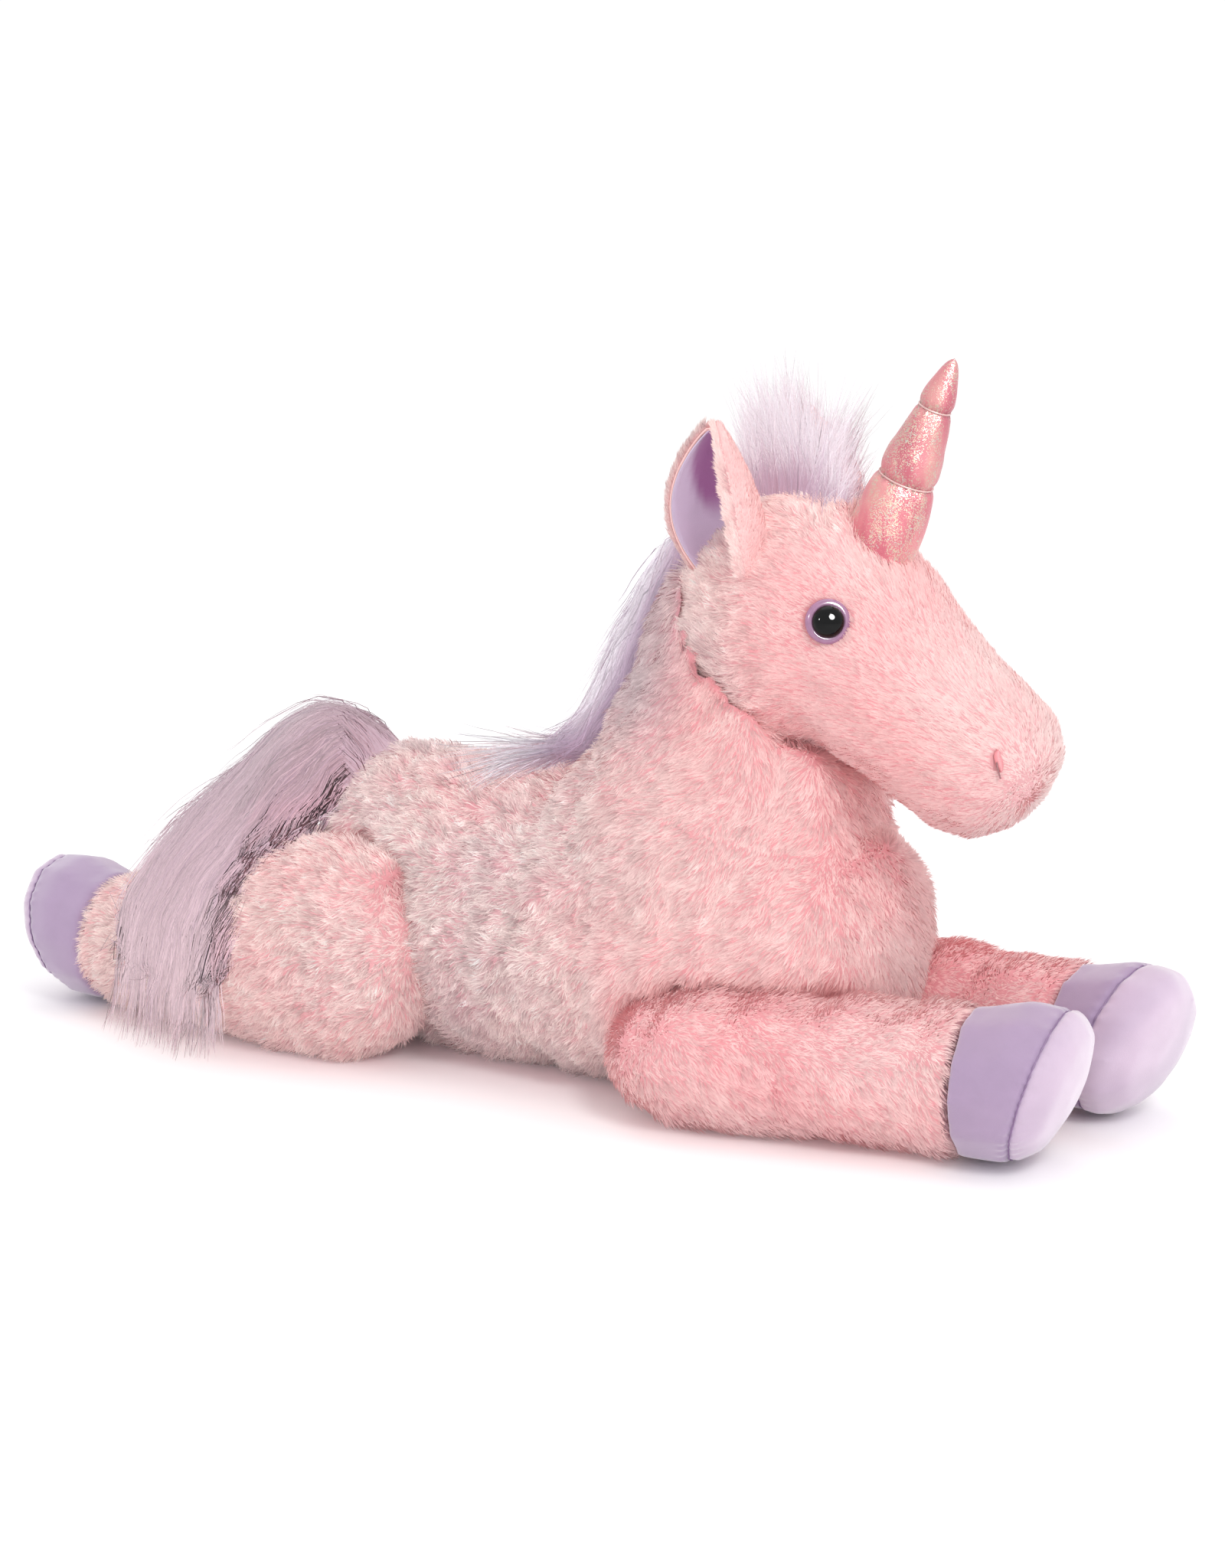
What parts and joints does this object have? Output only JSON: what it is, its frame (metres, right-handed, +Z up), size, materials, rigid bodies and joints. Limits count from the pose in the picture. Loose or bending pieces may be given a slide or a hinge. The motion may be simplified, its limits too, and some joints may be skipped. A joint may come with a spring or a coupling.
{
  "type": "plush unicorn",
  "caption": "Large lying plush unicorn with long-pile mane, forelock and tail, a ringed soft horn, folded ears and velour hooves.",
  "frame": {"origin": "on the ground, under the middle of the belly panel", "axes": "+X towards the muzzle, +Y to the toy's left side, +Z up"},
  "size_m": [0.7344, 0.2977, 0.4228],
  "materials": {
    "pink_plush": "soft directional pile, 12 to 18 mm",
    "pale_plush": "soft short pile",
    "lilac_pile": "long silky pile in clumps",
    "lilac_velour": "short brushed velour",
    "stuffing": "loose polyester fibre",
    "thread": "satin-stitched thread",
    "pink_lame": "soft metallic cloth with pale glitter streaks",
    "glitter_cord": "pale gold metallic cord",
    "eye_rim": "polished mauve",
    "eye_black": "polished black",
    "washer": "plain moulded"
  },
  "bodies": {
    "torso": {"torso_skin": "pink_plush", "torso_stuffing": "stuffing", "belly_panel": "pale_plush"},
    "neck": {"neck_skin": "pink_plush", "neck_stuffing": "stuffing", "mane_pile": "lilac_pile"},
    "head": {"head_skin": "pink_plush", "head_stuffing": "stuffing", "eye_ring_right": "eye_rim", "eye_dome_right": "eye_black", "eye_washer_right": "washer", "nostril_stitch_right": "thread", "eye_ring_left": "eye_rim", "eye_dome_left": "eye_black", "eye_washer_left": "washer", "nostril_stitch_left": "thread", "horn_cover": "pink_lame", "horn_stuffing": "stuffing", "horn_ring_lower": "glitter_cord", "horn_ring_upper": "glitter_cord", "forelock_pile": "lilac_pile"},
    "ear_right": {"ear_back_right": "pale_plush", "ear_lining_right": "lilac_velour"},
    "ear_left": {"ear_back_left": "pale_plush", "ear_lining_left": "lilac_velour"},
    "tail": {"tail_pile": "lilac_pile", "tail_root": "stuffing"},
    "leg_front_right": {"leg_skin_front_right": "pink_plush", "leg_stuffing_front_right": "stuffing", "hoof_band_front_right": "lilac_velour", "hoof_sole_front_right": "lilac_velour", "hoof_stuffing_front_right": "stuffing"},
    "leg_front_left": {"leg_skin_front_left": "pink_plush", "leg_stuffing_front_left": "stuffing", "hoof_band_front_left": "lilac_velour", "hoof_sole_front_left": "lilac_velour", "hoof_stuffing_front_left": "stuffing"},
    "leg_hind_right": {"leg_skin_hind_right": "pink_plush", "leg_stuffing_hind_right": "stuffing", "hoof_band_hind_right": "lilac_velour", "hoof_sole_hind_right": "lilac_velour", "hoof_stuffing_hind_right": "stuffing"},
    "leg_hind_left": {"leg_skin_hind_left": "pink_plush", "leg_stuffing_hind_left": "stuffing", "hoof_band_hind_left": "lilac_velour", "hoof_sole_hind_left": "lilac_velour", "hoof_stuffing_hind_left": "stuffing"}
  },
  "joints": [
    {"name": "neck_turn", "type": "hinge", "parent": "torso", "child": "neck", "pos_m": [0.075, 0, 0.175], "axis": [0, 0, 1], "range_deg": [-12, 12], "stiffness_Nm_per_rad": 6},
    {"name": "head_nod", "type": "hinge", "parent": "neck", "child": "head", "pos_m": [0.13, 0, 0.275], "axis": [0, 1, 0], "range_deg": [-7, 4], "stiffness_Nm_per_rad": 8},
    {"name": "ear_flop_right", "type": "hinge", "parent": "head", "child": "ear_right", "pos_m": [0.104, -0.045, 0.328], "axis": [1, 0, 0], "range_deg": [-10, 10], "stiffness_Nm_per_rad": 0.3},
    {"name": "ear_flop_left", "type": "hinge", "parent": "head", "child": "ear_left", "pos_m": [0.104, 0.045, 0.328], "axis": [-1, 0, 0], "range_deg": [-10, 10], "stiffness_Nm_per_rad": 0.3},
    {"name": "tail_lift", "type": "hinge", "parent": "torso", "child": "tail", "pos_m": [-0.168, 0, 0.168], "axis": [0, 1, 0], "range_deg": [0, 20], "stiffness_Nm_per_rad": 3},
    {"name": "leg_splay_front_right", "type": "hinge", "parent": "torso", "child": "leg_front_right", "pos_m": [0.106, -0.088, 0.044], "axis": [0, 0, -1], "range_deg": [0, 18], "stiffness_Nm_per_rad": 3},
    {"name": "leg_splay_front_left", "type": "hinge", "parent": "torso", "child": "leg_front_left", "pos_m": [0.12, 0.088, 0.044], "axis": [0, 0, 1], "range_deg": [0, 18], "stiffness_Nm_per_rad": 3},
    {"name": "leg_tuck_hind_right", "type": "hinge", "parent": "torso", "child": "leg_hind_right", "pos_m": [-0.122, -0.09, 0.06], "axis": [0, 0, -1], "range_deg": [0, 6], "stiffness_Nm_per_rad": 3},
    {"name": "leg_tuck_hind_left", "type": "hinge", "parent": "torso", "child": "leg_hind_left", "pos_m": [-0.122, 0.09, 0.06], "axis": [0, 0, 1], "range_deg": [0, 6], "stiffness_Nm_per_rad": 3}
  ]
}
